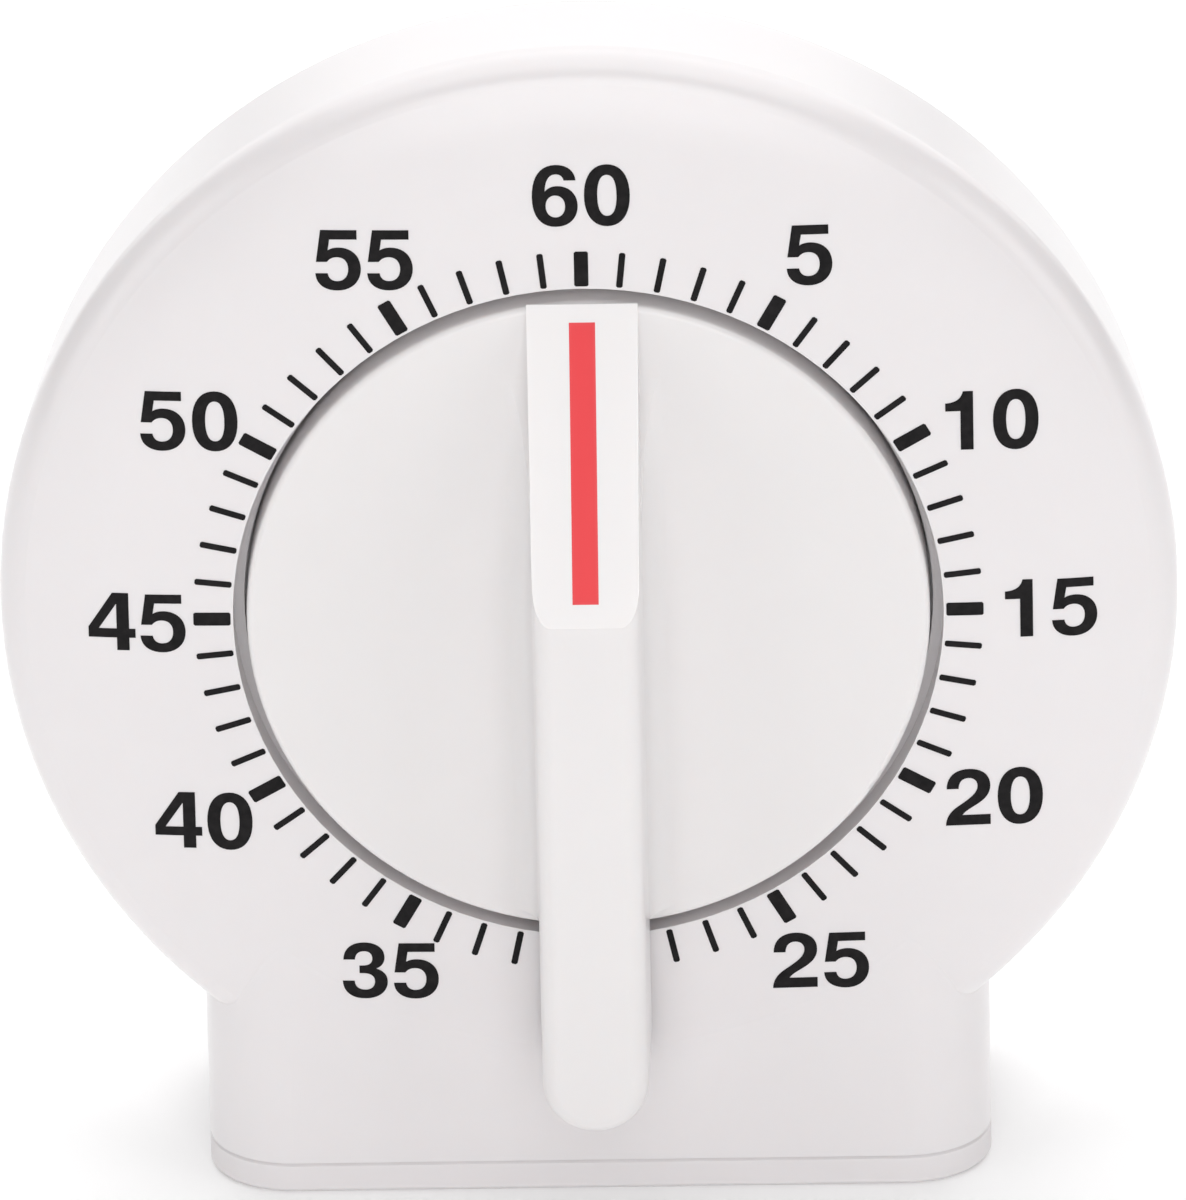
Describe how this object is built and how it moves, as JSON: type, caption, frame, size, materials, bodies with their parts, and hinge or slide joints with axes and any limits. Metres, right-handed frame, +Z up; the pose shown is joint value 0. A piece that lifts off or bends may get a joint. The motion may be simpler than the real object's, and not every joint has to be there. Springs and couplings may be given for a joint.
{
  "type": "kitchen timer",
  "caption": "Wind-up kitchen timer: round drum on a pedestal base, printed minute dial, finned pointer knob with a tail, geared movement and a bell inside.",
  "frame": {"origin": "middle of the resting face, under the middle of the object's depth", "axes": "+Z up, the dial faces -Y, +X to the viewer's right"},
  "size_m": [0.095, 0.0462, 0.0993],
  "materials": {
    "case_plastic": "white moulded plastic, fine satin skin",
    "base_plastic": "white moulded plastic, satin",
    "knob_plastic": "white moulded plastic, satin gloss",
    "pointer_red": "red plastic insert",
    "dial_ink": "black pad-printed ink",
    "steel": "bright zinc-plated steel",
    "plate_steel": "stamped steel sheet",
    "spring_steel": "blued spring steel",
    "brass": "stamped brass",
    "gong_metal": "nickel-plated steel bell"
  },
  "bodies": {
    "root": {"front_shell": "case_plastic", "rear_cover": "case_plastic", "base_plate": "base_plastic", "case_screws": "steel", "base_screws": "steel", "front_plate": "plate_steel", "back_plate": "plate_steel", "plate_pillars": "steel", "pillar_nuts": "steel", "movement_screws": "steel", "mainspring": "spring_steel", "spring_post": "steel", "hairspring": "spring_steel", "hairspring_stud": "brass", "hammer_spring": "spring_steel", "gong": "gong_metal", "gong_post": "steel", "gong_nut": "steel"},
    "winder": {"knob": "knob_plastic", "pointer_stripe": "pointer_red", "knob_clip": "spring_steel", "main_arbor": "steel", "main_wheel": "brass", "ratchet_wheel": "steel", "click_post": "steel", "click_pawl": "steel", "click_spring": "spring_steel", "hammer_cam": "brass"},
    "second_train": {"second_arbor": "steel", "second_wheel": "brass"},
    "third_train": {"third_arbor": "steel", "third_wheel": "brass"},
    "escape_train": {"escape_arbor": "steel", "escape_wheel": "brass"},
    "pallet": {"pallet_arbor": "steel", "pallet_lever": "brass", "pallet_pins": "steel"},
    "balance": {"balance_staff": "steel", "impulse_roller": "brass", "balance_wheel": "brass"},
    "hammer": {"hammer_arbor": "steel", "hammer_follower": "plate_steel", "hammer_lever": "plate_steel", "hammer_head": "brass"}
  },
  "joints": [
    {"name": "knob_turn", "type": "hinge", "parent": "root", "child": "winder", "pos_m": [0, -0.0009, 0.0518], "axis": [0, 1, 0], "range_deg": [0, 354], "deforming": ["mainspring"]},
    {"name": "second_spin", "type": "hinge", "parent": "root", "child": "second_train", "pos_m": [-0.01575, -0.0009, 0.0518], "axis": [0, 1, 0], "range_deg": [-2124, 0]},
    {"name": "third_spin", "type": "hinge", "parent": "root", "child": "third_train", "pos_m": [-0.01165, -0.0009, 0.04052], "axis": [0, 1, 0], "range_deg": [0, 10620]},
    {"name": "escape_spin", "type": "hinge", "parent": "root", "child": "escape_train", "pos_m": [-0.00286, -0.0009, 0.03545], "axis": [0, 1, 0], "range_deg": [-50976, 0]},
    {"name": "pallet_rock", "type": "hinge", "parent": "root", "child": "pallet", "pos_m": [0.0036, -0.0009, 0.0352], "axis": [0, 1, 0], "range_deg": [-5, 5], "stiffness_Nm_per_rad": 0.00001},
    {"name": "balance_swing", "type": "hinge", "parent": "root", "child": "balance", "pos_m": [0.0125, -0.0009, 0.0363], "axis": [0, 1, 0], "range_deg": [-150, 150], "stiffness_Nm_per_rad": 0.000001, "deforming": ["hairspring"]},
    {"name": "hammer_strike", "type": "hinge", "parent": "root", "child": "hammer", "pos_m": [0.0115, -0.0009, 0.0623], "axis": [0, 1, 0], "range_deg": [0, 5.9], "stiffness_Nm_per_rad": 0.002, "deforming": ["hammer_spring"]}
  ],
  "couplings": [
    {"joint": "second_spin", "follows": "knob_turn", "ratio": -6},
    {"joint": "third_spin", "follows": "knob_turn", "ratio": 30},
    {"joint": "escape_spin", "follows": "knob_turn", "ratio": -144}
  ]
}
